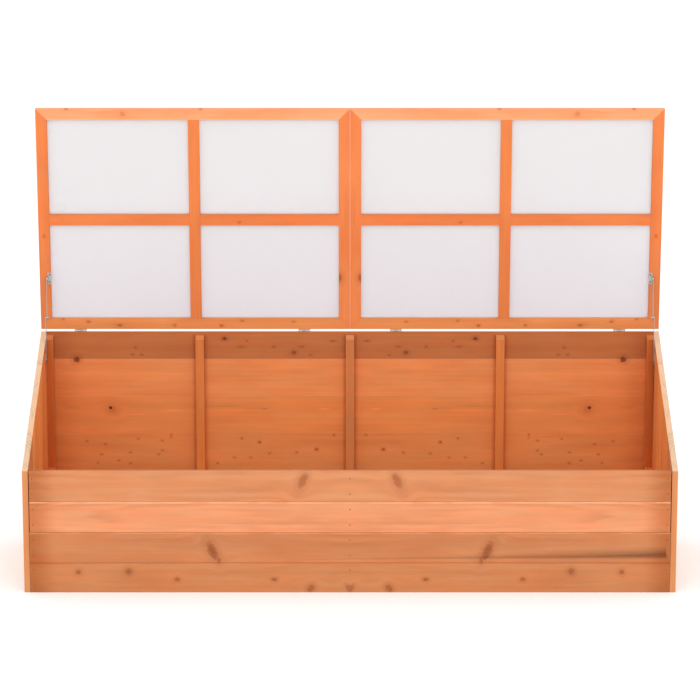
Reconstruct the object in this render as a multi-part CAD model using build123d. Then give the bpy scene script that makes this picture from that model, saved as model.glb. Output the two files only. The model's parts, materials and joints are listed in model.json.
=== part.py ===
from build123d import *
import math
import os

# A cold frame: a planked fir box with a sloping top and no floor, and two glazed lids
# hinged along its back wall. A folding stay beside each end wall props its lid open.
#
# Millimetres. +X runs along the box, +Y from the front wall to the back wall, +Z up.
# The origin is on the ground, at the middle of the footprint with the lids open.
# The left end wall is the one at -X. Everything on the right is its mirror image.

# Box
BOX_WIDTH = 1800.0
BOX_DEPTH = 570.0
BACK_HEIGHT = 623.4
FRONT_HEIGHT = 345.0
WALL = 16.0

# Tongue and groove boards, counted from the ground up and from the front to the back
FRONT_BOARDS = 4
FRONT_COURSE = 87.0
FRONT_END_GAPS = (0.8, 1.0, 2.4, 2.8)
BACK_BOARDS = 6
BACK_COURSE = 111.0
BACK_TOP_COURSE = 79.0
BACK_END_GAP = 0.5
SIDE_BOARDS = 4
TONGUE_LENGTH = 5.6
TONGUE_WIDTH = 4.8
GROOVE_DEPTH = 6.0
GROOVE_WIDTH = 5.2
V_JOINT = 2.0

# Uprights and rails behind the boards
BATTEN_WIDTH = 24.0
BATTEN_DEPTH = 20.0
REAR_POST_WIDTH = 21.0
FRONT_UPRIGHT_TOP = 335.0
BATTEN_LIFT = 10.0
BACK_BATTEN_X = {"left": -437.0, "middle": 0.0, "right": 437.0}
RAIL_HEIGHTS = (60.0, 200.0)

# Lids
LID_GAP = 0.3
LID_LENGTH = 650.5
LID_THICKNESS = 18.0
LID_BAR = 32.0
LONG_MUNTIN_SHIFT = 2.0
PANE_THICKNESS = 4.0
PANE_DEPTH_IN_LID = 9.0
PANE_IN_GROOVE = 7.0
PANE_PLAY = 0.5
GROOVE_PLAY = 0.2
LID_LEAN = math.radians(3.6)

# Hinges
HINGE_X = (-785.0, -133.5)
HINGE_WIDTH = 35.0
LEAF = 1.2
BOX_LEAF_LENGTH = 24.0
LID_LEAF_LENGTH = 16.0
KNUCKLE_RADIUS = 3.0
KNUCKLE_PLAY = 0.4
HINGE_PIN_RADIUS = 1.5
RUNNING_CLEARANCE = 0.05
LID_HEEL_GAP = 3.6
SEAT_GAP = 0.6

# Stays
STAY_PLATE = 1.5
STAY_PLATE_WIDTH = 10.6
STAY_PLATE_LENGTH = 34.0
STAY_ARM = 1.5
STAY_ARM_WIDTH = 12.0
STAY_ARM_GAP = 0.3
KNEE_SPACER = 1.7
LID_PIVOT_REACH = 156.1
LID_PIVOT_DROP = 8.0
BOX_PIVOT_FROM_BACK = 55.0
BOX_PIVOT_BELOW_TOP = 73.4
UPPER_ARM_SHARE = 0.48
EAR_RADIUS = 7.0
PIVOT_RADIUS = 2.0
RIVET_HEAD_RADIUS = 3.6
RIVET_HEAD = 0.8
RIVET_PLAY = 0.1
KNEE_RIVET_HEAD = 4.0

# Screws and nails
SCREW_HEAD_RADIUS = 2.8
SCREW_HEAD = 1.6
SCREW_RADIUS = 1.3
SCREW_LENGTH = 9.0
SCREW_SLOT_WIDTH = 0.7
SCREW_SLOT_LENGTH = 3.4
SCREW_SLOT_DEPTH = 0.8
HINGE_SCREW_SPACING = 22.0
BOX_LEAF_SCREW_DROP = 18.0
LID_LEAF_SCREW_DROP = 10.0
STAY_SCREW_SPACING = 22.0
NAIL_HEAD_RADIUS = 1.6
NAIL_HEAD = 0.6
NAIL_RADIUS = 0.8
NAIL_LENGTH = 28.0
NAIL_SPACING = 44.0
SIDE_NAIL_SPACING = 80.0
FRONT_POST_NAILS = (40.0, 145.0, 290.0)
REAR_POST_NAILS = (40.0, 145.0, 330.0, 520.0)
HOLE_PLAY = 0.05
OVERCUT = 50.0

# Derived places
SLOPE = math.atan2(BACK_HEIGHT - FRONT_HEIGHT, BOX_DEPTH)
OPEN_LID_BEHIND_WALL = (
    KNUCKLE_RADIUS
    - LID_HEEL_GAP * math.sin(LID_LEAN)
    + LID_THICKNESS * math.cos(LID_LEAN)
)
FRONT_Y = -(BOX_DEPTH + OPEN_LID_BEHIND_WALL) / 2
BACK_Y = FRONT_Y + BOX_DEPTH
END_X = BOX_WIDTH / 2
INNER_X = END_X - WALL
HINGE_Y = BACK_Y + KNUCKLE_RADIUS
HINGE_Z = (
    BACK_HEIGHT
    + KNUCKLE_RADIUS * math.tan(SLOPE)
    + SEAT_GAP / math.cos(SLOPE)
)
SIDE_COURSE = BOX_DEPTH / SIDE_BOARDS
POST_X = -INNER_X + REAR_POST_WIDTH / 2
FRONT_POST_Y = FRONT_Y + WALL + BATTEN_DEPTH / 2
REAR_POST_Y = BACK_Y - WALL - BATTEN_DEPTH / 2

# Stay layers, from the end wall inwards: bracket, lower arm, upper arm, lid plate's ear
BRACKET_X = (-INNER_X, -INNER_X + STAY_PLATE)
LOWER_ARM_X = (BRACKET_X[1] + STAY_ARM_GAP, BRACKET_X[1] + STAY_ARM_GAP + STAY_ARM)
UPPER_ARM_X = (LOWER_ARM_X[1] + KNEE_SPACER, LOWER_ARM_X[1] + KNEE_SPACER + STAY_ARM)
EAR_X = (UPPER_ARM_X[1] + STAY_ARM_GAP, UPPER_ARM_X[1] + STAY_ARM_GAP + STAY_PLATE)

# The open lid's own plane: its x is the world's, its y runs from the hinge axis to the
# lid's free edge, and its z points out of the lid's inner face. The lid lies below z = 0.
LID_PLANE = Plane(
    origin=(0, HINGE_Y, HINGE_Z),
    x_dir=(1, 0, 0),
    z_dir=(0, -math.cos(LID_LEAN), -math.sin(LID_LEAN)),
)

# Turns for a fastener, which is made pointing along +Y
POINT_FORWARD = Rot(0, 0, 180)
POINT_LEFT = Rot(0, 0, 90)
POINT_RIGHT = Rot(0, 0, -90)
POINT_DOWN = Rot(-90, 0, 0)


# Helpers

def block(x, y, z):
    """A box from three (low, high) spans."""
    size = Box(x[1] - x[0], y[1] - y[0], z[1] - z[0])
    return Pos((x[0] + x[1]) / 2, (y[0] + y[1]) / 2, (z[0] + z[1]) / 2) * size


def around(centre, width):
    """The (low, high) span of a width about its centre."""
    return (centre - width / 2, centre + width / 2)


def rod(radius, x, y, z):
    """A round bar along X, over the (low, high) span x."""
    bar = Cylinder(radius, x[1] - x[0])
    return Pos((x[0] + x[1]) / 2, y, z) * Rot(0, 90, 0) * bar


def peg(radius, start, end):
    """A round bar along Y from start to end."""
    return Pos(0, (start + end) / 2, 0) * Rot(90, 0, 0) * Cylinder(radius, end - start)


def above_slope():
    """All that lies above the box's sloping top, for trimming boards to it."""
    reach = BOX_DEPTH / math.cos(SLOPE) + 2 * OVERCUT
    slab = block((-END_X - OVERCUT, END_X + OVERCUT), (-OVERCUT, reach), (0, BACK_HEIGHT))
    return Pos(0, FRONT_Y, FRONT_HEIGHT) * Rot(math.degrees(SLOPE), 0, 0) * slab


def mirrored(shape):
    """The right-hand copy of a left-hand piece."""
    return mirror(shape, about=Plane.YZ)


# Nails and screws

def nail(play=0.0):
    """A nail pointing along +Y, its head's top at y = 0."""
    head = peg(NAIL_HEAD_RADIUS + play, -play, NAIL_HEAD + play)
    return head + peg(NAIL_RADIUS + play, 0, NAIL_LENGTH + play)


def screw_body(play=0.0):
    """A countersunk screw pointing along +Y, its head's top at y = 0."""
    head = Cone(SCREW_RADIUS + play, SCREW_HEAD_RADIUS + play, SCREW_HEAD)
    head = Pos(0, SCREW_HEAD / 2, 0) * Rot(90, 0, 0) * head
    return head + peg(SCREW_RADIUS + play, SCREW_HEAD / 2, SCREW_LENGTH + play)


def screw():
    """A screw with the cross slot in its head."""
    long = around(0, SCREW_SLOT_LENGTH)
    short = around(0, SCREW_SLOT_WIDTH)
    deep = (-SCREW_SLOT_DEPTH, SCREW_SLOT_DEPTH)
    return screw_body() - block(long, deep, short) - block(short, deep, long)


def board_bottoms(courses):
    """The bottom height of each board in a stack."""
    return [sum(courses[:index]) for index in range(len(courses))]


FRONT_COURSES = [FRONT_HEIGHT - (FRONT_BOARDS - 1) * FRONT_COURSE]
FRONT_COURSES += [FRONT_COURSE] * (FRONT_BOARDS - 1)
BACK_COURSES = [BACK_HEIGHT - BACK_TOP_COURSE - (BACK_BOARDS - 2) * BACK_COURSE]
BACK_COURSES += [BACK_COURSE] * (BACK_BOARDS - 2)
BACK_COURSES += [BACK_TOP_COURSE]


def wall_nail_places(courses, uprights, face_y, turn):
    """Two nails through each board of a wall into each upright behind it."""
    places = []
    for bottom, course in zip(board_bottoms(courses), courses):
        for height in around(bottom + course / 2, NAIL_SPACING):
            for x in uprights:
                places.append(Pos(x, face_y, height) * turn)
    return places


def left_nail_places():
    """Nails through the left end's boards into its rails and its two posts."""
    places = []
    for index in range(SIDE_BOARDS):
        middle = FRONT_Y + (index + 0.5) * SIDE_COURSE
        for y in around(middle, SIDE_NAIL_SPACING):
            for bottom in RAIL_HEIGHTS:
                height = bottom + BATTEN_WIDTH / 2
                places.append(Pos(-END_X, y, height) * POINT_RIGHT)
    for height in FRONT_POST_NAILS:
        places.append(Pos(-END_X, FRONT_POST_Y, height) * POINT_RIGHT)
    for height in REAR_POST_NAILS:
        places.append(Pos(-END_X, REAR_POST_Y, height) * POINT_RIGHT)
    return places


def stay_bracket_screw_places():
    """The two screws that hold the left stay's bracket to the end wall."""
    y, z = BOX_PIVOT
    return [Pos(BRACKET_X[1], y, height) * POINT_LEFT for height in around(z, STAY_SCREW_SPACING)]


def stay_plate_screw_places():
    """The two screws that hold the left stay's plate, in the lid's plane."""
    x = EAR_X[0] + STAY_PLATE_WIDTH / 2 + STAY_PLATE / 2
    reaches = around(LID_PIVOT_REACH, STAY_SCREW_SPACING)
    return [Pos(x, reach, STAY_PLATE) * POINT_DOWN for reach in reaches]


def box_leaf_screw_places():
    """The screws through the left lid's two box leaves."""
    height = HINGE_Z - BOX_LEAF_SCREW_DROP
    places = []
    for centre in HINGE_X:
        for x in around(centre, HINGE_SCREW_SPACING):
            places.append(Pos(x, BACK_Y + LEAF, height) * POINT_FORWARD)
    return places


def lid_leaf_screw_places():
    """The screws through the left lid's own two leaves, in the lid's plane."""
    places = []
    for centre in HINGE_X:
        for x in around(centre, HINGE_SCREW_SPACING):
            places.append(Pos(x, LID_HEEL_GAP - LEAF, -LID_LEAF_SCREW_DROP))
    return places


# The stay's pivots at rest, as (y, z). The stay is straight when the lid is open.

def lid_pivot():
    """Where the upper arm turns on the lid's plate."""
    place = LID_PLANE.from_local_coords((0, LID_PIVOT_REACH, LID_PIVOT_DROP))
    return (place.Y, place.Z)


def between(start, end, share):
    """The point that lies a share of the way from start to end."""
    return (
        start[0] + share * (end[0] - start[0]),
        start[1] + share * (end[1] - start[1]),
    )


BOX_PIVOT = (BACK_Y - BOX_PIVOT_FROM_BACK, BACK_HEIGHT - BOX_PIVOT_BELOW_TOP)
LID_PIVOT = lid_pivot()
KNEE = between(LID_PIVOT, BOX_PIVOT, UPPER_ARM_SHARE)

BACK_UPRIGHTS = [POST_X, *BACK_BATTEN_X.values(), -POST_X]
FRONT_UPRIGHTS = [POST_X, 0.0, -POST_X]
FRONT_NAILS = wall_nail_places(FRONT_COURSES, FRONT_UPRIGHTS, FRONT_Y, Rot(0, 0, 0))
BACK_NAILS = wall_nail_places(BACK_COURSES, BACK_UPRIGHTS, BACK_Y, POINT_FORWARD)
LEFT_NAILS = left_nail_places()


def nail_holes(places):
    """Holes for the nails at these places."""
    return [place * nail(HOLE_PLAY) for place in places]


def screw_holes(places):
    """Holes for the screws at these places."""
    return [place * screw_body(HOLE_PLAY) for place in places]


# Box boards

def plank(length, width, has_tongue, has_groove):
    """A board along X, outer face at y = 0, lower edge at z = 0, tongue upwards."""
    run = around(0, length)
    wide_run = around(0, length + OVERCUT)
    edge = V_JOINT * math.sqrt(2)
    v_cut = Rot(45, 0, 0) * Box(length + OVERCUT, edge, edge)
    board = block(run, (0, WALL), (0, width))
    if has_tongue:
        board += block(run, around(WALL / 2, TONGUE_WIDTH), (0, width + TONGUE_LENGTH))
        board -= Pos(0, 0, width) * v_cut
    if has_groove:
        board -= block(wide_run, around(WALL / 2, GROOVE_WIDTH), (-OVERCUT, GROOVE_DEPTH))
        board -= v_cut
    return board


def front_board(index):
    """One board of the front wall."""
    length = 2 * (INNER_X - FRONT_END_GAPS[index])
    top = index == FRONT_BOARDS - 1
    board = plank(length, FRONT_COURSES[index], not top, index > 0)
    bottom = board_bottoms(FRONT_COURSES)[index]
    return Pos(0, FRONT_Y, bottom) * board - nail_holes(FRONT_NAILS)


def back_board(index):
    """One board of the back wall. The top one is trimmed to the slope."""
    length = 2 * (INNER_X - BACK_END_GAP)
    top = index == BACK_BOARDS - 1
    board = plank(length, BACK_COURSES[index], not top, index > 0)
    bottom = board_bottoms(BACK_COURSES)[index]
    board = Pos(0, BACK_Y, bottom) * POINT_FORWARD * board
    board -= nail_holes(BACK_NAILS)
    if top:
        holes = screw_holes(box_leaf_screw_places())
        board -= [above_slope(), *holes, *[mirrored(hole) for hole in holes]]
    return board


def left_side_board(index):
    """One upright board of the left end wall, trimmed to the slope."""
    last = index == SIDE_BOARDS - 1
    plane = Plane(
        origin=(-END_X, FRONT_Y + index * SIDE_COURSE, BACK_HEIGHT / 2),
        x_dir=(0, 0, 1),
        z_dir=(0, 1, 0),
    )
    board = plane * plank(BACK_HEIGHT, SIDE_COURSE, not last, index > 0)
    board -= [above_slope(), *nail_holes(LEFT_NAILS)]
    return board - screw_holes(stay_bracket_screw_places())


# Uprights and rails

def front_upright(x, bottom):
    """A square-cut upright behind the front wall, over the (low, high) span x."""
    bar = block(x, around(FRONT_POST_Y, BATTEN_DEPTH), (bottom, FRONT_UPRIGHT_TOP))
    return bar - nail_holes(FRONT_NAILS + LEFT_NAILS)


def rear_upright(x, bottom):
    """An upright in front of the back wall, over the (low, high) span x, cut to the slope."""
    bar = block(x, around(REAR_POST_Y, BATTEN_DEPTH), (bottom, BACK_HEIGHT))
    return bar - [above_slope(), *nail_holes(BACK_NAILS + LEFT_NAILS)]


def left_side_rails():
    """The two rails that tie the left end's boards together, low inside the box."""
    thick = (-INNER_X, -INNER_X + BATTEN_DEPTH)
    run = (FRONT_Y + WALL + BATTEN_DEPTH, BACK_Y - WALL - BATTEN_DEPTH)
    rails = [block(thick, run, (bottom, bottom + BATTEN_WIDTH)) for bottom in RAIL_HEIGHTS]
    return Compound(children=[rail - nail_holes(LEFT_NAILS) for rail in rails])


# Left lid, made in the lid's plane

LID_OUTER = -END_X
LID_INNER = -LID_GAP / 2
LID_HEEL = LID_HEEL_GAP
LID_TOE = LID_HEEL_GAP + LID_LENGTH
LONG_MUNTIN_X = (LID_OUTER + LID_INNER) / 2 + LONG_MUNTIN_SHIFT
LID_MIDDLE_Y = (LID_HEEL + LID_TOE) / 2
LID_SPAN = (-LID_THICKNESS, 0)


def pane_windows():
    """The (x span, y span) of each of the lid's four clear openings."""
    columns = [
        (LID_OUTER + LID_BAR, LONG_MUNTIN_X - LID_BAR / 2),
        (LONG_MUNTIN_X + LID_BAR / 2, LID_INNER - LID_BAR),
    ]
    rows = [
        (LID_HEEL + LID_BAR, LID_MIDDLE_Y - LID_BAR / 2),
        (LID_MIDDLE_Y + LID_BAR / 2, LID_TOE - LID_BAR),
    ]
    return [(column, row) for row in rows for column in columns]


def pane_block(window, edge, play):
    """A pane, let into the bars by edge and thickened by play on each face."""
    (x_low, x_high), (y_low, y_high) = window
    bottom = -PANE_DEPTH_IN_LID - PANE_THICKNESS - play
    top = -PANE_DEPTH_IN_LID + play
    return block((x_low - edge, x_high + edge), (y_low - edge, y_high + edge), (bottom, top))


def pane_grooves():
    """The grooves that the four panes sit in."""
    edge = PANE_IN_GROOVE + PANE_PLAY
    return [pane_block(window, edge, GROOVE_PLAY) for window in pane_windows()]


def mitred_bar(points):
    """A lid bar of full thickness from its four corner points."""
    outline = make_face(Polyline(*points, close=True))
    return Pos(0, 0, -LID_THICKNESS) * extrude(outline, LID_THICKNESS)


def lid_rail(outer_y, inner_y):
    """A rail of the lid's outer frame, mitred at both ends."""
    return mitred_bar([
        (LID_OUTER, outer_y),
        (LID_INNER, outer_y),
        (LID_INNER - LID_BAR, inner_y),
        (LID_OUTER + LID_BAR, inner_y),
    ])


def lid_stile(outer_x, inner_x):
    """A stile of the lid's outer frame, mitred at both ends."""
    return mitred_bar([
        (outer_x, LID_HEEL),
        (outer_x, LID_TOE),
        (inner_x, LID_TOE - LID_BAR),
        (inner_x, LID_HEEL + LID_BAR),
    ])


def lid_rear_rail():
    """The rail beside the hinges, drilled for their screws."""
    rail = lid_rail(LID_HEEL, LID_HEEL + LID_BAR)
    return rail - screw_holes(lid_leaf_screw_places())


def lid_front_rail():
    """The rail at the lid's free edge."""
    return lid_rail(LID_TOE, LID_TOE - LID_BAR)


def lid_outer_stile():
    """The stile over the end wall, drilled for the stay plate's screws."""
    stile = lid_stile(LID_OUTER, LID_OUTER + LID_BAR)
    return stile - screw_holes(stay_plate_screw_places())


def lid_inner_stile():
    """The stile beside the other lid."""
    return lid_stile(LID_INNER, LID_INNER - LID_BAR)


def lid_long_muntin():
    """The bar from rear to front rail, halved on its outer face at the crossing."""
    run = (LID_HEEL + LID_BAR, LID_TOE - LID_BAR)
    bar = block(around(LONG_MUNTIN_X, LID_BAR), run, LID_SPAN)
    crossing = around(LID_MIDDLE_Y, LID_BAR)
    notch = block(around(LONG_MUNTIN_X, LID_BAR + OVERCUT), crossing, (-OVERCUT, -LID_THICKNESS / 2))
    return bar - notch


def lid_cross_muntin():
    """The bar from stile to stile, halved on its inner face at the crossing."""
    run = (LID_OUTER + LID_BAR, LID_INNER - LID_BAR)
    bar = block(run, around(LID_MIDDLE_Y, LID_BAR), LID_SPAN)
    crossing = around(LONG_MUNTIN_X, LID_BAR)
    notch = block(crossing, around(LID_MIDDLE_Y, LID_BAR + OVERCUT), (-LID_THICKNESS / 2, OVERCUT))
    return bar - notch


def lid_panes():
    """The lid's four panes, one group of separate solids."""
    panes = [pane_block(window, PANE_IN_GROOVE, 0) for window in pane_windows()]
    return Compound(children=panes)


LID_BARS = {
    "front_rail": lid_front_rail,
    "rear_rail": lid_rear_rail,
    "outer_stile": lid_outer_stile,
    "inner_stile": lid_inner_stile,
    "long_muntin": lid_long_muntin,
    "cross_muntin": lid_cross_muntin,
}


# Hinges

KNUCKLE_WIDTH = (HINGE_WIDTH - 2 * KNUCKLE_PLAY) / 3
KNUCKLE_STEP = KNUCKLE_WIDTH + KNUCKLE_PLAY
LEAF_CLEAR = KNUCKLE_RADIUS + KNUCKLE_PLAY


def knuckle(x, y, z):
    """The outside of one hinge knuckle, about an axis along X."""
    return rod(KNUCKLE_RADIUS, around(x, KNUCKLE_WIDTH), y, z)


def knuckle_bore(x, y, z):
    """The bore through a whole hinge."""
    bore = HINGE_PIN_RADIUS + RUNNING_CLEARANCE
    return rod(bore, around(x, HINGE_WIDTH + OVERCUT), y, z)


def box_leaf(x):
    """A leaf on the back wall's outer face, with the two outer knuckles."""
    thick = (BACK_Y, BACK_Y + LEAF)
    bottom = HINGE_Z - BOX_LEAF_LENGTH
    leaf = block(around(x, HINGE_WIDTH), thick, (bottom, HINGE_Z - LEAF_CLEAR))
    for side in (-KNUCKLE_STEP, KNUCKLE_STEP):
        leaf += block(around(x + side, KNUCKLE_WIDTH), thick, (bottom, HINGE_Z))
        leaf += knuckle(x + side, HINGE_Y, HINGE_Z)
    leaf -= knuckle_bore(x, HINGE_Y, HINGE_Z)
    return leaf - screw_holes(box_leaf_screw_places())


def lid_leaf(x):
    """A cranked leaf on the lid's rear edge, with the middle knuckle, in the lid's plane."""
    thick = (LID_HEEL_GAP - LEAF, LID_HEEL_GAP)
    leaf = block(around(x, HINGE_WIDTH), thick, (-LID_LEAF_LENGTH, -LEAF_CLEAR))
    leaf += block(around(x, KNUCKLE_WIDTH), thick, (-LID_LEAF_LENGTH, LEAF - KNUCKLE_RADIUS))
    leaf += block(around(x, KNUCKLE_WIDTH), (0, LID_HEEL_GAP), (-KNUCKLE_RADIUS, LEAF - KNUCKLE_RADIUS))
    leaf += knuckle(x, 0, 0)
    leaf -= knuckle_bore(x, 0, 0)
    return leaf - screw_holes(lid_leaf_screw_places())


def hinge_pin(x):
    """A hinge's pin, which stays with the box."""
    return rod(HINGE_PIN_RADIUS, around(x, HINGE_WIDTH), HINGE_Y, HINGE_Z)


# Left stay

def stay_arm(start, end, x):
    """A flat arm with round ends from one (y, z) place to another."""
    run = math.dist(start, end)
    direction = (0, end[0] - start[0], end[1] - start[1])
    plane = Plane(origin=(x[0], *start), x_dir=direction, z_dir=(1, 0, 0))
    outline = Pos(run / 2, 0) * SlotCenterToCenter(run, STAY_ARM_WIDTH)
    return plane * extrude(outline, x[1] - x[0])


def pivot_bore(x, place):
    """A pivot's hole through an arm."""
    return rod(PIVOT_RADIUS + RUNNING_CLEARANCE, x, *place)


def left_upper_arm():
    """The arm on the lid, with the stay's knee rivet fixed in its lower end."""
    arm = stay_arm(LID_PIVOT, KNEE, UPPER_ARM_X) - pivot_bore(UPPER_ARM_X, LID_PIVOT)
    spacer = rod(RIVET_HEAD_RADIUS, (LOWER_ARM_X[1] + RIVET_PLAY, UPPER_ARM_X[0]), *KNEE)
    head = rod(RIVET_HEAD_RADIUS, (UPPER_ARM_X[1], UPPER_ARM_X[1] + KNEE_RIVET_HEAD), *KNEE)
    return arm + spacer + head


def left_lower_arm():
    """The arm on the end wall. Its knee end passes beside the upper arm, unpinned."""
    return stay_arm(BOX_PIVOT, KNEE, LOWER_ARM_X) - pivot_bore(LOWER_ARM_X, BOX_PIVOT)


def left_bracket():
    """The plate on the end wall, with the lower arm's rivet."""
    y, z = BOX_PIVOT
    plate = stay_arm((y, z - STAY_SCREW_SPACING / 2), (y, z + STAY_SCREW_SPACING / 2), BRACKET_X)
    plate -= screw_holes(stay_bracket_screw_places())
    head_start = LOWER_ARM_X[1] + RIVET_PLAY
    pin = rod(PIVOT_RADIUS, (BRACKET_X[1], head_start), y, z)
    return plate + pin + rod(RIVET_HEAD_RADIUS, (head_start, head_start + RIVET_HEAD), y, z)


def left_lid_plate():
    """The angle plate on the lid, with the upper arm's rivet, in the lid's plane."""
    wide = (EAR_X[0], EAR_X[0] + STAY_PLATE_WIDTH)
    plate = block(wide, around(LID_PIVOT_REACH, STAY_PLATE_LENGTH), (0, STAY_PLATE))
    plate += block(EAR_X, around(LID_PIVOT_REACH, 2 * EAR_RADIUS), (0, LID_PIVOT_DROP))
    plate += rod(EAR_RADIUS, EAR_X, LID_PIVOT_REACH, LID_PIVOT_DROP)
    plate -= screw_holes(stay_plate_screw_places())
    head_end = UPPER_ARM_X[0] - RIVET_PLAY
    plate += rod(PIVOT_RADIUS, (head_end, EAR_X[0]), LID_PIVOT_REACH, LID_PIVOT_DROP)
    head = (head_end - RIVET_HEAD, head_end)
    return plate + rod(RIVET_HEAD_RADIUS, head, LID_PIVOT_REACH, LID_PIVOT_DROP)


# Assembly

def both_sides(name, shape):
    """A left-hand piece and its mirror image, under their two names."""
    return {f"left_{name}": shape, f"right_{name}": mirrored(shape)}


def box_nodes():
    """The box's boards, uprights and rails."""
    nodes = {f"front_board_{i + 1}": front_board(i) for i in range(FRONT_BOARDS)}
    nodes.update({f"back_board_{i + 1}": back_board(i) for i in range(BACK_BOARDS)})
    for index in range(SIDE_BOARDS):
        nodes.update(both_sides(f"side_board_{index + 1}", left_side_board(index)))
    nodes.update(both_sides("front_post", front_upright((-INNER_X, -INNER_X + BATTEN_WIDTH), 0)))
    nodes.update(both_sides("rear_post", rear_upright((-INNER_X, -INNER_X + REAR_POST_WIDTH), 0)))
    nodes["front_batten"] = front_upright(around(0, BATTEN_WIDTH), BATTEN_LIFT)
    for name, x in BACK_BATTEN_X.items():
        nodes[f"back_batten_{name}"] = rear_upright(around(x, BATTEN_WIDTH), BATTEN_LIFT)
    nodes.update(both_sides("side_rails", left_side_rails()))
    return nodes


def lid_nodes():
    """Both lids' bars and panes."""
    grooves = pane_grooves()
    nodes = {}
    for name, make in LID_BARS.items():
        nodes.update(both_sides(f"lid_{name}", LID_PLANE * (make() - grooves)))
    nodes.update(both_sides("lid_panes", LID_PLANE * lid_panes()))
    return nodes


def hinge_nodes():
    """The hinge leaves and pins, grouped by the body that carries them."""
    box_leaves = [box_leaf(x) for x in HINGE_X]
    pins = [hinge_pin(x) for x in HINGE_X]
    lid_leaves = Compound(children=[LID_PLANE * lid_leaf(x) for x in HINGE_X])
    nodes = {
        "box_hinge_leaves": Compound(children=box_leaves + [mirrored(leaf) for leaf in box_leaves]),
        "hinge_pins": Compound(children=pins + [mirrored(pin) for pin in pins]),
    }
    nodes.update(both_sides("lid_hinge_leaves", lid_leaves))
    return nodes


def stay_nodes():
    """Both stays' plates, arms and brackets."""
    nodes = both_sides("stay_lid_plate", LID_PLANE * left_lid_plate())
    nodes.update(both_sides("stay_upper_arm", left_upper_arm()))
    nodes.update(both_sides("stay_lower_arm", left_lower_arm()))
    nodes.update(both_sides("stay_bracket", left_bracket()))
    return nodes


def fastener_nodes():
    """Screws and nails, grouped by the body that carries them."""
    box_places = box_leaf_screw_places() + stay_bracket_screw_places()
    box_screws = [place * screw() for place in box_places]
    lid_places = lid_leaf_screw_places() + stay_plate_screw_places()
    lid_screws = [LID_PLANE * place * screw() for place in lid_places]
    end_nails = [place * nail() for place in LEFT_NAILS]
    nails = [place * nail() for place in FRONT_NAILS + BACK_NAILS]
    nails += end_nails + [mirrored(piece) for piece in end_nails]
    nodes = {
        "box_screws": Compound(children=box_screws + [mirrored(piece) for piece in box_screws]),
        "board_nails": Compound(children=nails),
    }
    nodes.update(both_sides("lid_screws", Compound(children=lid_screws)))
    return nodes


def main():
    """Write one STEP file for each node."""
    os.makedirs("parts", exist_ok=True)
    nodes = {**box_nodes(), **lid_nodes(), **hinge_nodes(), **stay_nodes(), **fastener_nodes()}
    for name, shape in nodes.items():
        export_step(shape, f"parts/{name}.step")


main()
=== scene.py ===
import json
import math

import bpy
from mathutils import Matrix, Vector


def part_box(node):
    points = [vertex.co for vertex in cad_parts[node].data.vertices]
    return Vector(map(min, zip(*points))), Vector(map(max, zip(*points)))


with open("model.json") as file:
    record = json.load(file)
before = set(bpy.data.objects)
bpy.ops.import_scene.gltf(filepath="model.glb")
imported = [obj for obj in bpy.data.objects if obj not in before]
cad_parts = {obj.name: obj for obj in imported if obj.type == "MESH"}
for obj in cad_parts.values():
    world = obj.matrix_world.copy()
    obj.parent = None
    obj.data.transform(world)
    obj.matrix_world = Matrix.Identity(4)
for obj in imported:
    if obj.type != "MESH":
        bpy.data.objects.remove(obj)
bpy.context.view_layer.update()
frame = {"nodes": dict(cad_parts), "record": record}
nodes = frame["nodes"]

# The frame's own measures, in metres
FRONT_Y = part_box("front_board_1")[0].y
BACK_INNER_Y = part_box("back_board_1")[0].y
JOINTS = {joint["name"]: joint for joint in frame["record"]["behaviour"]["joints"]}
HINGE = Vector(JOINTS["left_lid_hinge"]["pos_m"])
HINGE.x = 0.0

# How far the open lid leans forward of upright
LID_LEAN = math.radians(3.6)
LID_ALONG = Vector((0, -math.sin(LID_LEAN), math.cos(LID_LEAN)))
LID_OUTWARD = Vector((0, math.cos(LID_LEAN), math.sin(LID_LEAN)))

X = Vector((1, 0, 0))
Y = Vector((0, 1, 0))
Z = Vector((0, 0, 1))


# Shader graphs

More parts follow.
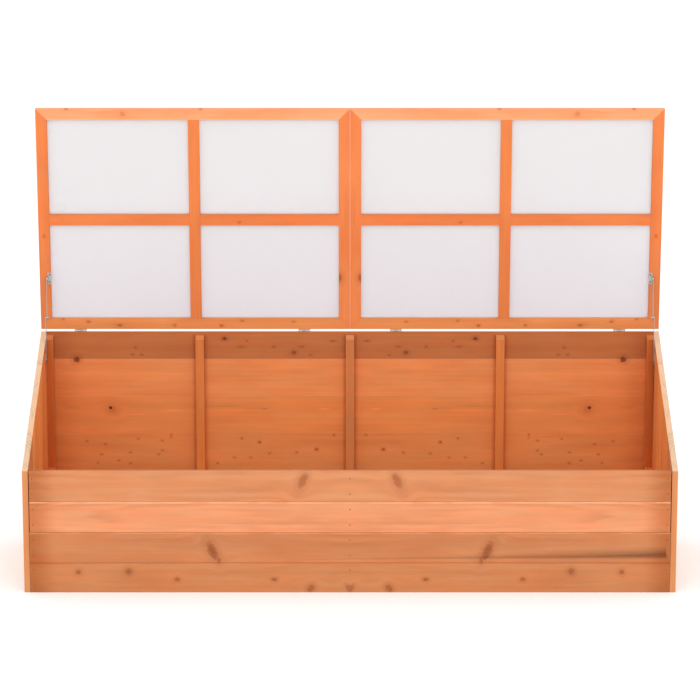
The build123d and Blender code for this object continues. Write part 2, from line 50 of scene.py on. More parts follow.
class Graph:
    """Short calls for building one shader node tree."""

    def __init__(self, tree):
        self.tree = tree

    def plug(self, value, socket):
        """Links a socket, or sets a plain value."""
        if isinstance(value, bpy.types.NodeSocket):
            self.tree.links.new(value, socket)
        else:
            socket.default_value = value

    def node(self, kind, inputs=None, **settings):
        """A new node with its settings and inputs."""
        made = self.tree.nodes.new(kind)
        for name, value in settings.items():
            setattr(made, name, value)
        for name, value in (inputs or {}).items():
            self.plug(value, made.inputs[name])
        return made

    def math(self, operation, *values, clamp=False):
        """One step of arithmetic."""
        made = self.node("ShaderNodeMath", operation=operation, use_clamp=clamp)
        for index, value in enumerate(values):
            self.plug(value, made.inputs[index])
        return made.outputs[0]

    def vector(self, operation, *values):
        """One step of vector arithmetic, whose result is a vector."""
        made = self.node("ShaderNodeVectorMath", operation=operation)
        for index, value in enumerate(values):
            self.plug(value, made.inputs[index])
        return made.outputs[0]

    def split(self, vector):
        """A vector's three parts."""
        made = self.node("ShaderNodeSeparateXYZ", {"Vector": vector})
        return made.outputs[0], made.outputs[1], made.outputs[2]

    def join(self, x, y, z):
        """A vector from three parts."""
        return self.node("ShaderNodeCombineXYZ", {"X": x, "Y": y, "Z": z}).outputs[0]

    def ramp(self, value, low, high, bottom=0.0, top=1.0):
        """A smooth step from bottom to top as the value goes from low to high."""
        made = self.node(
            "ShaderNodeMapRange",
            {"Value": value, "From Min": low, "From Max": high, "To Min": bottom, "To Max": top},
            interpolation_type="SMOOTHSTEP",
        )
        return made.outputs["Result"]

    def noise(self, vector, stretch, detail=2.0, roughness=0.5):
        """Smooth noise from 0 to 1, with this many features per metre along each axis."""
        scaled = self.vector("MULTIPLY", vector, stretch)
        made = self.node(
            "ShaderNodeTexNoise",
            {"Vector": scaled, "Scale": 1.0, "Detail": detail, "Roughness": roughness},
        )
        return made.outputs["Fac"]

    def mix(self, factor, first, second, blend="MIX"):
        """Two colours mixed."""
        made = self.node("ShaderNodeMix", data_type="RGBA", blend_type=blend)
        self.plug(factor, made.inputs[0])
        self.plug(first, made.inputs[6])
        self.plug(second, made.inputs[7])
        return made.outputs[2]

    def scaled(self, colour, factor):
        """A colour made lighter or darker."""
        made = self.node("ShaderNodeVectorMath", {"Vector": colour, "Scale": factor}, operation="SCALE")
        return made.outputs[0]


def new_group(name, inputs, outputs):
    """An empty node group and its graph. Inputs and outputs are (kind, name, start value)."""
    tree = bpy.data.node_groups.new(name, "ShaderNodeTree")
    for kind, label, start in inputs:
        socket = tree.interface.new_socket(label, in_out="INPUT", socket_type=f"NodeSocket{kind}")
        if start is not None:
            socket.default_value = start
    for kind, label in outputs:
        tree.interface.new_socket(label, in_out="OUTPUT", socket_type=f"NodeSocket{kind}")
    graph = Graph(tree)
    return graph, graph.node("NodeGroupInput").outputs, graph.node("NodeGroupOutput").inputs


def new_material(name):
    """An empty material's graph, with its shader and output linked."""
    material = bpy.data.materials.new(name)
    material.use_nodes = True
    material.node_tree.nodes.clear()
    graph = Graph(material.node_tree)
    shader = graph.node("ShaderNodeBsdfPrincipled")
    output = graph.node("ShaderNodeOutputMaterial")
    material.node_tree.links.new(shader.outputs[0], output.inputs["Surface"])
    return material, graph, shader


def linear(red, green, blue):
    """A display colour of 0 to 255 as the linear colour that shaders take."""
    def channel(value):
        value = value / 255
        return value / 12.92 if value <= 0.04045 else ((value + 0.055) / 1.055) ** 2.4
    return (channel(red), channel(green), channel(blue), 1.0)


# Fir

def blot_place(graph, given):
    """A position as seen from a blot's centre, in units of its radii."""
    return graph.node(
        "ShaderNodeMapping",
        {
            "Vector": given["Position"],
            "Location": given["Centre"],
            "Rotation": given["Tilt"],
            "Scale": given["Radii"],
        },
        vector_type="TEXTURE",
    ).outputs[0]


def length_of(graph, vector):
    """A vector's length."""
    return graph.node("ShaderNodeVectorMath", {"Vector": vector}, operation="LENGTH").outputs["Value"]


BLOT_INPUTS = [
    ("Vector", "Position", None),
    ("Vector", "Centre", None),
    ("Vector", "Radii", (1, 1, 1)),
    ("Vector", "Tilt", None),
]


def knot_group():
    """One knot: bends the grain about its centre and adds its stain and its dark heart."""
    graph, given, result = new_group(
        "knot",
        [
            *BLOT_INPUTS,
            ("Float", "Across", 0.0),
            ("Float", "Stain", 0.0),
            ("Float", "Heart", 0.0),
            ("Float", "Own stain", 1.0),
            ("Float", "Own heart", 0.0),
        ],
        [("Float", "Across"), ("Float", "Stain"), ("Float", "Heart")],
    )
    length = length_of(graph, blot_place(graph, given))
    spread = graph.math("POWER", graph.math("MULTIPLY", length, 0.42), 2.0)
    pull = graph.math("EXPONENT", graph.math("MULTIPLY", spread, -1.0))
    here = graph.split(given["Position"])[1]
    centre = graph.split(given["Centre"])[1]
    offset = graph.math("SUBTRACT", here, centre)
    bend = graph.math("MULTIPLY", offset, pull)
    graph.plug(graph.math("SUBTRACT", given["Across"], bend), result["Across"])

    wobble = graph.noise(given["Position"], (170.0, 210.0, 170.0), 2.0)
    distance = graph.math("MULTIPLY_ADD", graph.math("SUBTRACT", wobble, 0.5), 0.9, length)
    body = graph.ramp(distance, 0.5, 1.35, 1.0, 0.0)
    halo = graph.ramp(distance, 1.0, 2.4, 0.30, 0.0)
    stain = graph.math("MULTIPLY", graph.math("MAXIMUM", body, halo), given["Own stain"])
    graph.plug(graph.math("MAXIMUM", given["Stain"], stain), result["Stain"])
    heart = graph.math("MULTIPLY", graph.ramp(distance, 0.3, 0.9, 1.0, 0.0), given["Own heart"])
    graph.plug(graph.math("MAXIMUM", given["Heart"], heart), result["Heart"])
    return graph.tree


def streak_group():
    """One long streak, paler or darker than the wood about it."""
    graph, given, result = new_group(
        "streak",
        [*BLOT_INPUTS, ("Float", "Light", 1.0), ("Float", "Own light", 0.0)],
        [("Float", "Light")],
    )
    length = length_of(graph, blot_place(graph, given))
    fade = graph.math("EXPONENT", graph.math("MULTIPLY", graph.math("POWER", length, 2.0), -1.5))
    graph.plug(graph.math("MULTIPLY_ADD", fade, given["Own light"], given["Light"]), result["Light"])
    return graph.tree


def fir_group():
    """Stained fir. Position is along the grain, across the board and through it, in metres."""
    graph, given, result = new_group(
        "fir",
        [
            ("Vector", "Position", None),
            ("Float", "Across", 0.0),
            ("Float", "Stain", 0.0),
            ("Float", "Heart", 0.0),
            ("Float", "Light", 1.0),
            ("Float", "Stain and shade", 0.0),
            ("Float", "End", 0.0),
            ("Float", "Raw end", 0.1),
            ("Float", "Edge", 0.0),
            ("Color", "Tone", (0.8, 0.4, 0.2, 1)),
            ("Vector", "Seed", None),
            ("Float", "Figure", 1.0),
        ],
        [("Color", "Color"), ("Float", "Roughness"), ("Float", "Height")],
    )
    along, _, through = graph.split(given["Position"])
    seed = given["Seed"]
    seeded = graph.vector("ADD", given["Position"], seed)
    bent = graph.vector("ADD", graph.join(along, given["Across"], through), seed)

    # Growth rings about a pith that wanders behind the board
    far = graph.join(graph.split(seeded)[0], graph.split(seed)[1], 0.0)
    wander = graph.noise(far, (0.9, 1, 1), 1.0)
    depth = graph.math("ADD", through, graph.math("MULTIPLY_ADD", wander, 0.08, 0.015))
    sway = graph.noise(seeded, (2.2, 9.0, 9.0), 2.0)
    side = graph.math("ADD", given["Across"], graph.math("MULTIPLY_ADD", sway, 0.024, -0.012))
    squares = graph.math("ADD", graph.math("POWER", side, 2.0), graph.math("POWER", depth, 2.0))
    ragged = graph.noise(bent, (8.0, 80.0, 80.0), 3.0)
    turns = graph.math("MULTIPLY", graph.math("SQRT", squares), 120.0)
    phase = graph.math("FRACT", graph.math("MULTIPLY_ADD", ragged, 0.8, turns))
    late = graph.math(
        "MULTIPLY", graph.ramp(phase, 0.2, 0.85), graph.ramp(phase, 0.86, 1.0, 1.0, 0.0)
    )
    shown = graph.ramp(graph.noise(seeded, (2.5, 14.0, 14.0), 2.0), 0.42, 0.66, 0.12, 1.0)
    late = graph.math("MULTIPLY", late, shown)

    # Slower and finer variation
    bands = graph.noise(bent, (1.1, 24.0, 24.0), 2.0)
    streaks = graph.noise(bent, (4.0, 130.0, 130.0), 4.0, 0.6)
    fibres = graph.noise(bent, (34.0, 1300.0, 1300.0), 3.0, 0.6)
    clouds = graph.noise(seeded, (8.0, 24.0, 24.0), 3.0)
    hue = graph.noise(graph.vector("ADD", bent, (3.7, 0.0, 0.0)), (5.0, 30.0, 30.0), 2.0)

    light = given["Light"]
    for noise, amount in ((bands, 0.30), (streaks, 0.20), (fibres, 0.10), (clouds, 0.24)):
        light = graph.math("MULTIPLY_ADD", graph.math("SUBTRACT", noise, 0.5), amount, light)
    tone = given["Tone"]
    dark = graph.math("MULTIPLY", late, graph.math("MULTIPLY", given["Figure"], 0.30))
    colour = graph.mix(dark, tone, tinted(graph, tone, (0.72, 0.58, 0.44)))
    colour = graph.scaled(colour, light)
    redder = tinted(graph, colour, (1.02, 0.91, 0.84))
    colour = graph.mix(graph.ramp(hue, 0.35, 0.65), colour, redder)
    # Deeper stain near the boards' ends, with painted shade near the back wall's corners and beside its
    # battens
    colour = graph.mix(given["Stain and shade"], colour, tinted(graph, colour, (0.76, 0.60, 0.42)))

    # Knots: a brown stain with rings of its own about a dark heart
    mottle = graph.noise(seeded, (330.0, 330.0, 330.0), 2.0)
    stain = graph.math("MULTIPLY", given["Stain"], graph.ramp(mottle, 0.3, 0.6, 0.72, 1.0))
    colour = graph.mix(stain, colour, tinted(graph, colour, (0.56, 0.37, 0.22)))
    colour = graph.mix(given["Heart"], colour, tinted(graph, colour, (0.20, 0.13, 0.10)))

    # End grain is darker in its rings and paler where it was sawn last; arrises are paler where rubbed,
    # and a front board's top arris carries a painted highlight
    end_colour = graph.mix(given["Raw end"], tone, linear(222, 195, 165))
    end_colour = graph.scaled(end_colour, graph.math("MULTIPLY_ADD", late, -0.28, 1.06))
    colour = graph.mix(given["End"], colour, end_colour)
    patchy = graph.ramp(graph.noise(seeded, (14.0, 60.0, 60.0), 3.0), 0.3, 0.6, 0.25, 1.0)
    rubbed_and_highlit = graph.math("MULTIPLY", given["Edge"], patchy)
    colour = graph.mix(rubbed_and_highlit, colour, graph.mix(0.5, tone, linear(255, 205, 160)))
    graph.plug(colour, result["Color"])

    rough = graph.math("MULTIPLY_ADD", streaks, 0.16, 0.52)
    rough = graph.math("MULTIPLY_ADD", given["End"], 0.2, rough)
    graph.plug(graph.math("MULTIPLY_ADD", given["Heart"], -0.12, rough), result["Roughness"])
    relief = graph.math("MULTIPLY", late, 0.3)
    relief = graph.math("MULTIPLY_ADD", fibres, 0.4, relief)
    relief = graph.math("MULTIPLY_ADD", streaks, 0.3, relief)
    graph.plug(graph.math("MULTIPLY_ADD", stain, -0.3, relief), result["Height"])
    return graph.tree


def tinted(graph, colour, tint):
    """A colour multiplied by a tint."""
    return graph.mix(1.0, colour, (*tint, 1.0), "MULTIPLY")


KNOT = knot_group()
STREAK = streak_group()
FIR = fir_group()


class Grain:
    """A piece of wood's own axes: along the grain, across the board and through it."""

    def __init__(self, node, along, across):
        low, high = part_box(node)
        centre = (low + high) / 2
        self.centre = Vector((abs(centre.x), centre.y, centre.z))
        through = along.cross(across)
        self.turn = Matrix((along, across, through)).transposed()
        self.low, self.high = low, high

    def local(self, point):
        """A place in the object, in the piece's own axes. The right half mirrors the left."""
        mirrored = Vector((abs(point.x), point.y, point.z))
        return self.turn.transposed() @ (mirrored - self.centre)

    def half_size(self):
        """Half the piece's size along its own axes."""
        size = (self.high - self.low) / 2
        return Vector(abs(value) for value in self.turn.transposed() @ size)

    def holds(self, point, margin=0.004):
        """Whether the point lies in the piece's box, give or take a margin."""
        sides = zip(point, self.low, self.high)
        return all(low - margin <= value <= high + margin for value, low, high in sides)


class Piece:
    """How one kind of wooden piece looks: its grain, stain and marks."""

    def __init__(self, kind, name):
        self.kind = kind
        self.grain = Grain(name, *axes_of(kind))
        self.tone = linear(*TONES[kind])
        self.figure = 0.35 if kind.startswith("back_board") else 1.0
        self.end_darkening_reach = 0.0
        if kind.startswith("front_board"):
            self.end_darkening_reach = FRONT_END_STAIN
        if kind.startswith("back_board"):
            self.end_darkening_reach = BACK_END_STAIN_AND_SHADE
        self.knots, self.streaks = marks_of(kind, self.grain)


def blots(graph, group, local, listed, chained):
    """Runs a chain of knot or streak groups. Each adds to the values named in chained."""
    for place, radii, tilt, own in listed:
        link = graph.node("ShaderNodeGroup", node_tree=group)
        given = {"Position": local, "Centre": (*place, 0.0), "Radii": (*radii, 1.0)}
        given["Tilt"] = (0.0, 0.0, tilt)
        for label, value in (given | own | chained).items():
            graph.plug(value, link.inputs[label])
        chained = {label: link.outputs[label] for label in chained}
    return chained


def fir(name, piece, seed):
    """A fir material for one piece, or a mirrored pair."""
    material, graph, shader = new_material(name)
    grain = piece.grain
    place = graph.node("ShaderNodeTexCoord").outputs
    x, y, z = graph.split(place["Object"])
    mirrored_x = graph.math("ABSOLUTE", x)
    local = graph.node(
        "ShaderNodeMapping",
        {
            "Vector": graph.join(mirrored_x, y, z),
            "Location": grain.centre,
            "Rotation": grain.turn.to_euler(),
        },
        vector_type="TEXTURE",
    ).outputs[0]

    along_axis = grain.turn.col[0]
    facing = graph.node(
        "ShaderNodeVectorMath", {0: place["Normal"], 1: along_axis}, operation="DOT_PRODUCT"
    ).outputs["Value"]

    start = {"Across": graph.split(local)[1], "Stain": 0.0, "Heart": 0.0}
    knotted = blots(graph, KNOT, local, piece.knots, start)
    light = 1.0
    # Painted light: the open lid's upright pieces grow paler towards its free end
    if piece.kind in LID_UPRIGHTS:
        reach = grain.half_size().x
        light = graph.ramp(graph.split(local)[0], -reach, reach, 0.95, 1.02)
    streaked = blots(graph, STREAK, local, piece.streaks, {"Light": light})

    wood = graph.node("ShaderNodeGroup", node_tree=FIR)
    given = {
        "Position": local,
        **knotted,
        **streaked,
        "Stain and shade": stain_and_painted_shade(graph, piece, local, mirrored_x, y),
        "End": graph.ramp(graph.math("ABSOLUTE", facing), 0.6, 0.8),
        "Raw end": 0.75 if piece.kind.startswith("side_board") else 0.1,
        "Edge": edge_wear_and_highlight(graph, piece, local),
        "Tone": piece.tone,
        "Seed": (seed * 3.17, seed * 1.31 + 0.4, seed * 0.73),
        "Figure": piece.figure,
    }
    for label, value in given.items():
        graph.plug(value, wood.inputs[label])
    bump = graph.node(
        "ShaderNodeBump", {"Height": wood.outputs["Height"], "Strength": 0.5, "Distance": 0.0005}
    )
    graph.plug(wood.outputs["Color"], shader.inputs["Base Color"])
    graph.plug(wood.outputs["Roughness"], shader.inputs["Roughness"])
    graph.plug(bump.outputs[0], shader.inputs["Normal"])
    shader.inputs["Specular IOR Level"].default_value = 0.25
    return material


def stain_and_painted_shade(graph, piece, local, mirrored_x, y):
    """How much darker a board is: deeper stain near a front board's ends, deeper stain with painted
    corner shade near a back board's ends, and painted shade beside the back wall's battens and posts on
    its inner face.
    """
    stain_and_shade = 0.0
    if piece.end_darkening_reach:
        from_middle = graph.math("ABSOLUTE", graph.split(local)[0])
        ragged = graph.noise(local, (12.0, 50.0, 50.0), 2.0)
        from_middle = graph.math("MULTIPLY_ADD", ragged, 0.03, from_middle)
        end = piece.grain.half_size().x + 0.015
        stain_and_shade = graph.ramp(from_middle, end - piece.end_darkening_reach, end - 0.005)
    # Painted shade beside the battens and posts on the back wall's inner face; near its ends the
    # darkening is also painted corner shade
    if piece.kind.startswith("back_board"):
        stain_and_shade = graph.math("MULTIPLY", stain_and_shade, 0.6)
        inside = graph.ramp(y, BACK_INNER_Y + 0.001, BACK_INNER_Y + 0.004, 0.8, 0.0)
        for batten in ("back_batten_middle", "back_batten_right", "right_rear_post"):
            low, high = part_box(batten)
            middle, half = abs(low.x + high.x) / 2, (high.x - low.x) / 2
            gap = graph.math("ABSOLUTE", graph.math("SUBTRACT", mirrored_x, middle))
            near = graph.math("MULTIPLY", graph.ramp(gap, half, half + BATTEN_SHADE, 1.0, 0.0), inside)
            stain_and_shade = graph.math("MAXIMUM", stain_and_shade, near)
    return stain_and_shade


def edge_wear_and_highlight(graph, piece, local):
    """How much rubbing pales the surface at an arris, with a painted highlight along a front board's top
    arris, where light from above catches it.
    """
    half = piece.grain.half_size()
    gaps = graph.split(graph.vector("SUBTRACT", Vector(half), graph.vector("ABSOLUTE", local)))
    total = graph.math("ADD", graph.math("ADD", gaps[0], gaps[1]), gaps[2])
    least = graph.math("MINIMUM", graph.math("MINIMUM", gaps[0], gaps[1]), gaps[2])
    most = graph.math("MAXIMUM", graph.math("MAXIMUM", gaps[0], gaps[1]), gaps[2])
    middle = graph.math("SUBTRACT", graph.math("SUBTRACT", total, least), most)
    wear_and_highlight = graph.ramp(middle, 0.0, 0.0025, 0.15, 0.0)
    # Painted highlight: light from above catching a front board's top arris
    if piece.kind in TOP_HIGHLIGHT:
        from_top = graph.math("SUBTRACT", half.y, graph.split(local)[1])
        wear_and_highlight = graph.math("MAXIMUM", wear_and_highlight, graph.ramp(from_top, 0.007, 0.012, TOP_HIGHLIGHT[piece.kind], 0.0))
    return wear_and_highlight


# Pieces that run up the open lid, given painted light that makes them paler towards its free end
LID_UPRIGHTS = ("lid_outer_stile", "lid_inner_stile", "lid_long_muntin")

# How strong the painted highlight is along a front board's top edge, where light from above catches it
TOP_HIGHLIGHT = {"front_board_2": 0.4, "front_board_3": 0.9}

# How far a front board's stain runs deeper from its ends, how far a back board darkens from its ends
# with deeper stain and painted corner shade, and how far painted shade reaches beside a batten
FRONT_END_STAIN = 0.085
BACK_END_STAIN_AND_SHADE = 0.11
BATTEN_SHADE = 0.014

# Knots of the walls and lids, as (x from the middle, height or distance from the hinge,
# half width, half height, tilt in degrees, stain, dark heart)
FRONT_KNOTS = [
    (0.750, 0.058, 0.009, 0.008, 0, 0.8, 0.15),
    (0.611, 0.060, 0.010, 0.010, 0, 0.8, 0.0),
    (0.477, 0.037, 0.009, 0.007, 0, 0.8, 0.0),
    (0.379, 0.118, 0.014, 0.033, -23, 0.85, 0.25),
    (0.362, 0.092, 0.007, 0.012, -10, 0.7, 0.1),
    (0.209, 0.037, 0.009, 0.006, 0, 0.85, 0.1),
    (0.130, 0.318, 0.012, 0.025, 24, 0.8, 0.0),
    (0.108, 0.012, 0.010, 0.013, 30, 0.8, 0.0),
    (0.004, 0.012, 0.006, 0.012, -30, 0.75, 0.0),
]
BACK_KNOTS = [
    (0.797, 0.542, 0.012, 0.011, 0, 1.0, 0.7),
    (0.700, 0.399, 0.007, 0.006, 0, 1.0, 1.0),
    (0.695, 0.393, 0.015, 0.013, 0, 0.45, 0.0),
    (0.365, 0.605, 0.008, 0.006, 0, 1.0, 0.7),
    (0.163, 0.563, 0.008, 0.006, 0, 0.9, 0.3),
    (0.098, 0.273, 0.006, 0.005, 0, 0.9, 0.3),
    (0.265, 0.295, 0.005, 0.004, 0, 0.9, 0.3),
    (0.524, 0.317, 0.003, 0.008, 0, 0.6, 0.0),
    (0.317, 0.5805, 0.010, 0.003, 0, 0.6, 0.0),
    (0.141, 0.5805, 0.008, 0.003, 0, 0.7, 0.0),
    (0.050, 0.598, 0.009, 0.003, 0, 0.8, 0.0),
]
# What every pin knot shares: half width, half height, tilt, stain, dark heart
PIN_KNOT = (0.0042, 0.0030, 0, 0.75, 0.0)

# Pin knots of the back wall, as (x from the middle, height)
BACK_PIN_KNOTS = [
    (0.624, 0.578), (0.634, 0.557), (0.607, 0.557), (0.729, 0.258), (0.644, 0.264),
    (0.562, 0.258), (0.550, 0.270), (0.644, 0.231), (0.389, 0.231), (0.236, 0.261),
    (0.339, 0.249), (0.620, 0.305), (0.550, 0.300), (0.717, 0.289), (0.771, 0.298),
    (0.678, 0.240), (0.740, 0.232), (0.300, 0.598), (0.222, 0.580), (0.115, 0.556),
    (0.317, 0.306), (0.047, 0.317), (0.291, 0.249), (0.157, 0.264),
]
LID_KNOTS = [
    (0.650, 0.639, 0.008, 0.007, 30, 0.55, 0.0),
    (0.812, 0.653, 0.005, 0.002, 0, 0.8, 0.0),
    (0.427, 0.653, 0.005, 0.002, 0, 0.7, 0.0),
    (0.884, 0.281, 0.004, 0.005, 0, 0.7, 0.0),
    (0.835, 0.033, 0.005, 0.003, 0, 0.7, 0.0),
    (0.762, 0.026, 0.006, 0.004, 0, 0.8, 0.2),
    (0.671, 0.015, 0.007, 0.004, 0, 0.8, 0.2),
    (0.511, 0.015, 0.005, 0.004, 0, 0.8, 0.1),
    (0.374, 0.014, 0.006, 0.004, 0, 0.8, 0.2),
    (0.314, 0.029, 0.005, 0.003, 0, 0.7, 0.0),
    (0.164, 0.026, 0.005, 0.003, 0, 0.7, 0.0),
    (0.319, 0.322, 0.005, 0.003, 0, 0.7, 0.0),
    (0.031, 0.157, 0.009, 0.016, 0, 0.85, 0.3),
]
# Streaks of the back wall, as (x from the middle, height, half length, half height, paler or darker)
BACK_STREAKS = [
    (0.515, 0.390, 0.032, 0.0012, 0.35),
    (0.619, 0.378, 0.030, 0.0015, 0.20),
    (0.323, 0.390, 0.100, 0.0015, 0.22),
    (0.075, 0.395, 0.020, 0.0030, 0.25),
    (0.249, 0.395, 0.010, 0.0015, -0.45),
    (0.814, 0.400, 0.030, 0.0060, -0.12),
    (0.557, 0.439, 0.055, 0.0020, -0.12),
    (0.355, 0.404, 0.050, 0.0060, -0.10),
    (0.797, 0.522, 0.016, 0.0020, 0.15),
]


def marks_in(grain, listed, to_point):
    """Which listed marks lie in a piece, as (place, radii, tilt, the rest) in its own axes."""
    found = []
    upright = abs(grain.turn.col[0].x) < 0.5
    for across, up, wide, high, tilt, *own in listed:
        point = to_point(across, up)
        flipped = Vector((-point.x, point.y, point.z))
        if grain.holds(point) or grain.holds(flipped):
            place = grain.local(point)
            radii = (high, wide) if upright else (wide, high)
            found.append(((place.x, place.y), radii, math.radians(tilt), own))
    return found


def on_front(across, height):
    """A place on the front wall's outer face."""
    return Vector((across, FRONT_Y + 0.001, height))


def on_back(across, height):
    """A place on the back wall's inner face."""
    return Vector((across, BACK_INNER_Y + 0.001, height))


def on_lid(across, reach):
    """A place on an open lid's inner face."""
    return Vector((across, 0, 0)) + HINGE + LID_ALONG * reach + LID_OUTWARD * 0.001


# Tone of each piece, as the stain looks in even light, except the rear posts, whose darker tone is
# painted shade of the back corners
TONES = {
    "front_board_1": (198, 129, 82),
    "front_board_2": (198, 127, 81),
    "front_board_3": (223, 149, 105),
    "front_board_4": (208, 139, 94),
    "back_board_1": (211, 129, 69),
    "back_board_2": (213, 131, 71),
    "back_board_3": (213, 131, 73),
    "back_board_4": (221, 133, 72),
    "back_board_5": (225, 138, 80),
    "back_board_6": (181, 104, 56),
    "side_board_1": (210, 140, 88),
    "side_board_2": (231, 145, 75),
    "side_board_3": (235, 151, 82),
    "side_board_4": (225, 138, 75),
    "front_post": (214, 124, 70),
    # Darker than the front posts: painted shade of the back corners
    "rear_post": (195, 101, 40),
    "front_batten": (214, 124, 70),
    "back_batten_left": (208, 120, 58),
    "back_batten_middle": (200, 122, 69),
    "back_batten_right": (208, 120, 58),
    "side_rails": (216, 128, 75),
    "lid_front_rail": (245, 162, 113),
    "lid_rear_rail": (223, 141, 80),
    "lid_outer_stile": (224, 126, 68),
    "lid_inner_stile": (228, 130, 72),
    "lid_long_muntin": (227, 127, 66),
    "lid_cross_muntin": (226, 124, 65),
}


def axes_of(kind):
    """The grain's direction and the board's width direction for a kind of piece."""
    if kind.startswith("side_board"):
        return Z, Y
    if kind.endswith("post") or "batten" in kind:
        return Z, X
    if kind == "side_rails":
        return Y, Z
    if kind in LID_UPRIGHTS:
        return LID_ALONG, X
    if kind.startswith("lid"):
        return X, LID_ALONG
    return X, Z


def marks_of(kind, grain):
    """The knots and streaks in a piece."""
    listed, streaks = [], []
    if kind.startswith("front_board"):
        listed = marks_in(grain, FRONT_KNOTS, on_front)
    if kind.startswith("back_board"):
        pins = [(*place, *PIN_KNOT) for place in BACK_PIN_KNOTS]
        listed = marks_in(grain, BACK_KNOTS + pins, on_back)
        level = [(*streak[:4], 0, streak[4]) for streak in BACK_STREAKS]
        streaks = marks_in(grain, level, on_back)
    if kind.startswith("lid"):
        listed = marks_in(grain, LID_KNOTS, on_lid)
    knots = [(*mark[:3], {"Own stain": mark[3][0], "Own heart": mark[3][1]}) for mark in listed]
    streaks = [(*mark[:3], {"Own light": mark[3][0]}) for mark in streaks]
    return knots, streaks


# How far an arris is rounded
EASE_WIDTH = 0.0006


def ease_edges(piece):
    """Rounds a piece's arrises."""
    weld = piece.modifiers.new("weld", "WELD")
    weld.merge_threshold = 0.00001
    flat = piece.modifiers.new("flat", "DECIMATE")
    flat.decimate_type = "DISSOLVE"
    flat.angle_limit = math.radians(0.5)
    bevel = piece.modifiers.new("bevel", "BEVEL")
    bevel.width = EASE_WIDTH
    bevel.segments = 2
    bevel.limit_method = "ANGLE"
    bevel.angle_limit = math.radians(35)
    bevel.use_clamp_overlap = False


def finish_wood():
    """Fir on every wooden piece, one material for each mirrored pair."""
    made = {}
    for name, piece in nodes.items():
        kind = name.removeprefix("left_").removeprefix("right_")
        if kind not in TONES:
            continue
        if kind not in made:
            made[kind] = fir(f"fir_{kind}", Piece(kind, name), len(made) + 1.0)
        piece.material_slots[0].material = made[kind]
        # Eased, the back boards shade falsely and a pale line shows between the two lids.
        # Eased, left_side_board_4 and right_side_board_1 also show a thin false shade.
        if not kind.startswith("back_board") and kind != "lid_inner_stile":
            ease_edges(piece)


# Other materials

def zinc(name, dark, light):
    """Zinc-plated steel, faintly clouded between two greys and scratched."""
    material, graph, shader = new_material(name)
    place = graph.node("ShaderNodeTexCoord").outputs["Object"]
    clouds = graph.noise(place, (160, 160, 160), 4.0, 0.6)
    scratches = graph.noise(place, (300, 2500, 300), 2.0)
    colour = graph.mix(clouds, dark, light)
    graph.plug(colour, shader.inputs["Base Color"])
    graph.plug(graph.math("MULTIPLY_ADD", clouds, 0.3, 0.22), shader.inputs["Roughness"])
    bump = graph.node("ShaderNodeBump", {"Height": scratches, "Strength": 0.2, "Distance": 0.0001})
    graph.plug(bump.outputs[0], shader.inputs["Normal"])
    shader.inputs["Metallic"].default_value = 1.0
    return material


def stained_nail():
    """A nail head stained over with the boards: dull dark brown."""
    material, graph, shader = new_material("stained_nail")
    place = graph.node("ShaderNodeTexCoord").outputs["Object"]
    clouds = graph.noise(place, (900, 900, 900), 2.0)
    colour = graph.mix(clouds, linear(120, 62, 30), linear(170, 95, 55))
    graph.plug(colour, shader.inputs["Base Color"])
    shader.inputs["Metallic"].default_value = 0.3
    shader.inputs["Roughness"].default_value = 0.6
    return material


# The distance between two ribs of a pane
RIB_PITCH = 0.006


def polycarbonate():
    """Milky translucent sheet with fine ribs along the lid."""
    material, graph, shader = new_material("milky_sheet")
    place = graph.node("ShaderNodeTexCoord").outputs["Object"]
    x, _, z = graph.split(place)
    ribs = graph.math("SINE", graph.math("MULTIPLY", x, 2 * math.pi / RIB_PITCH))
    clouds = graph.noise(place, (3, 3, 3), 3.0)
    # Pinker lower down: a painted reflection of orange light bounced off the wood
    colour = graph.mix(graph.ramp(z, 0.7, 1.1), (0.73, 0.70, 0.74, 1), (0.74, 0.72, 0.73, 1))
    colour = graph.scaled(colour, graph.math("MULTIPLY_ADD", clouds, 0.06, 0.97))
    graph.plug(colour, shader.inputs["Base Color"])
    bump = graph.node("ShaderNodeBump", {"Height": ribs, "Strength": 0.25, "Distance": 0.0002})
    graph.plug(bump.outputs[0], shader.inputs["Normal"])
    graph.plug(graph.math("MULTIPLY_ADD", clouds, 0.1, 0.25), shader.inputs["Roughness"])
    shader.inputs["Alpha"].default_value = 0.6
    return material


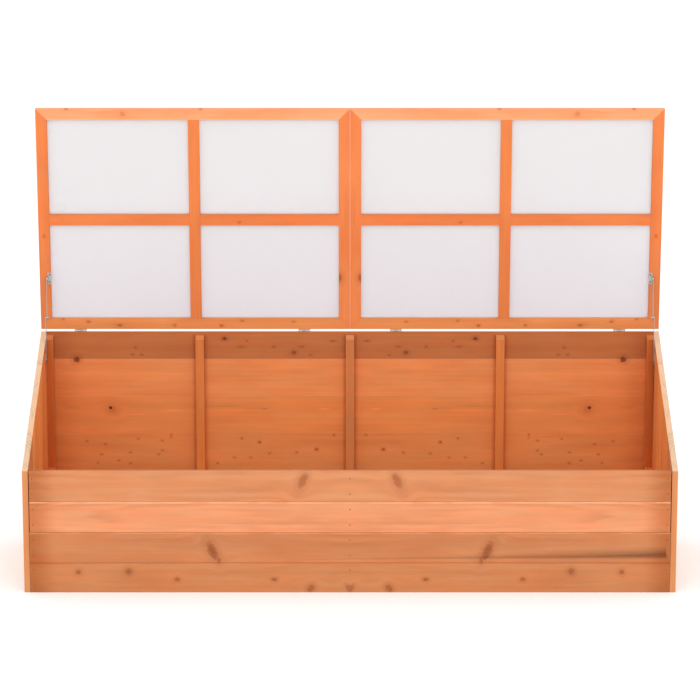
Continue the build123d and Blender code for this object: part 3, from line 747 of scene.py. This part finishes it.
def finish_metal_and_panes():
    """Steel on the hinges, stays and fasteners, and sheet on the panes."""
    steel = zinc("zinc_plate", (0.36, 0.35, 0.33, 1), (0.56, 0.54, 0.51, 1))
    screw_steel = zinc("worn_screw", (0.10, 0.09, 0.08, 1), (0.30, 0.28, 0.25, 1))
    sheet, nail = polycarbonate(), stained_nail()
    for name, piece in nodes.items():
        if name.endswith("panes"):
            piece.material_slots[0].material = sheet
        elif name.endswith("nails"):
            piece.material_slots[0].material = nail
        elif name.endswith("screws"):
            piece.material_slots[0].material = screw_steel
        elif piece.material_slots[0].material.name == "zinc_steel":
            piece.material_slots[0].material = steel


# Stage

def white_floor():
    """A plain pale floor."""
    bpy.ops.mesh.primitive_plane_add(size=60, location=(0, 0, 0))
    floor = bpy.context.object
    floor.name = "floor"
    material, _, shader = new_material("floor")
    shader.inputs["Base Color"].default_value = (0.95, 0.95, 0.95, 1)
    shader.inputs["Emission Color"].default_value = (1, 1, 1, 1)
    shader.inputs["Emission Strength"].default_value = 0.1
    shader.inputs["Roughness"].default_value = 0.9
    shader.inputs["Specular IOR Level"].default_value = 0.0
    floor.data.materials.append(material)


def softbox(name, place, target, size, watts):
    """A large square light aimed at a point."""
    light = bpy.data.lights.new(name, "AREA")
    light.shape = "SQUARE"
    light.size = size
    light.energy = watts
    lamp = bpy.data.objects.new(name, light)
    bpy.context.collection.objects.link(lamp)
    lamp.location = place
    lamp.rotation_euler = (Vector(target) - Vector(place)).to_track_quat("-Z", "Y").to_euler()


def studio():
    """Even white surroundings and a large soft light above the camera."""
    world = bpy.data.worlds.new("studio")
    bpy.context.scene.world = world
    world.use_nodes = True
    background = world.node_tree.nodes["Background"]
    background.inputs["Color"].default_value = (1, 1, 1, 1)
    background.inputs["Strength"].default_value = 1.02
    softbox("key", (0, -5.0, 5.0), (0, 0, 0.5), 4.0, 103)
    bpy.context.scene.view_settings.view_transform = "Standard"


# The camera's place: in front of the front wall, and above the ground
CAMERA_DISTANCE = 7.714
CAMERA_HEIGHT = 2.265
CAMERA_TURN = math.radians(78.42)


def front_camera():
    """The camera, in front of the box's middle and well above it, looking down at it."""
    data = bpy.data.cameras.new("camera")
    data.lens = 149.0
    data.sensor_width = 36.0
    data.clip_end = 100.0
    camera = bpy.data.objects.new("camera", data)
    bpy.context.collection.objects.link(camera)
    camera.location = (0, FRONT_Y - CAMERA_DISTANCE, CAMERA_HEIGHT)
    camera.rotation_euler = (CAMERA_TURN, 0, 0)
    bpy.context.scene.camera = camera


finish_wood()
finish_metal_and_panes()
white_floor()
studio()
front_camera()
